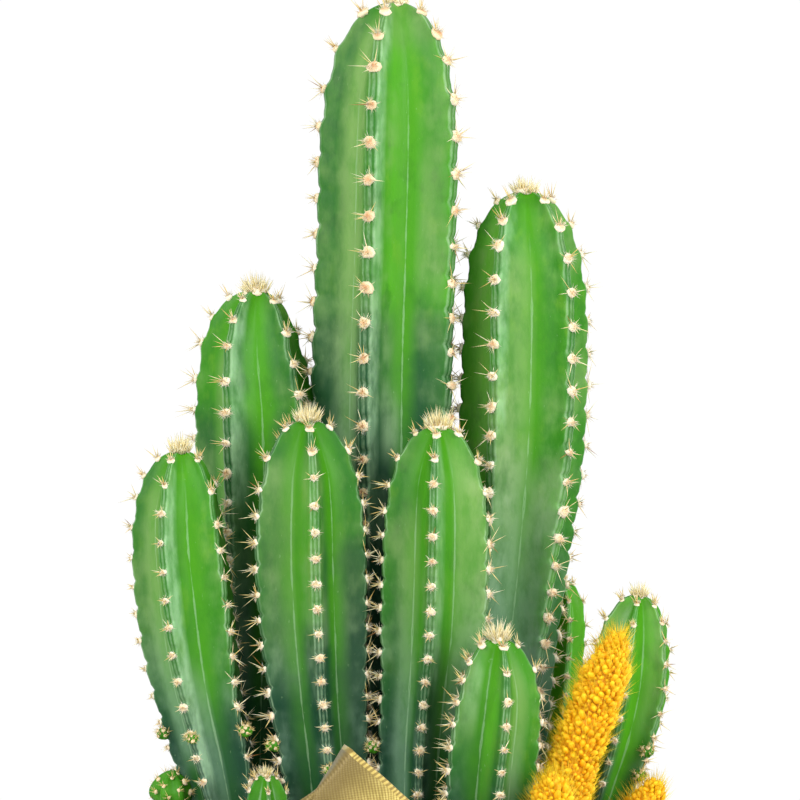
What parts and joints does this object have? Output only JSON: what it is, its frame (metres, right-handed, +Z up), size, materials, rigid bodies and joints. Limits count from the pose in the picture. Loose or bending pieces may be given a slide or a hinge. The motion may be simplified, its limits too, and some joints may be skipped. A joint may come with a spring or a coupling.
{
  "type": "potted column cactus",
  "caption": "Cluster of ribbed column cacti with spines in a round terracotta pot of soil, with dried golden grass heads and a gold ribbon bow; stands on its flat base",
  "frame": {"origin": "middle of the pot's flat underside", "axes": "+Z up along the tallest stem, -Y towards the front, where the bow is, +X to the right as seen from the front"},
  "size_m": [0.2251, 0.2318, 0.492],
  "materials": {
    "pot_clay": "matte",
    "soil": "matte",
    "cactus_skin": "satin",
    "golden_grass": "matte",
    "gold_ribbon": "satin"
  },
  "bodies": {
    "root": {"pot": "pot_clay", "soil": "soil", "cactus_stem_1": "cactus_skin", "cactus_stem_2": "cactus_skin", "cactus_stem_3": "cactus_skin", "cactus_stem_4": "cactus_skin", "cactus_stem_5": "cactus_skin", "cactus_stem_6": "cactus_skin", "cactus_stem_7": "cactus_skin", "cactus_stem_8": "cactus_skin", "cactus_stem_9": "cactus_skin", "cactus_pup": "cactus_skin", "golden_head_1": "golden_grass", "golden_head_2": "golden_grass", "golden_head_3": "golden_grass", "ribbon_band": "gold_ribbon", "ribbon_bow": "gold_ribbon"}
  },
  "joints": []
}
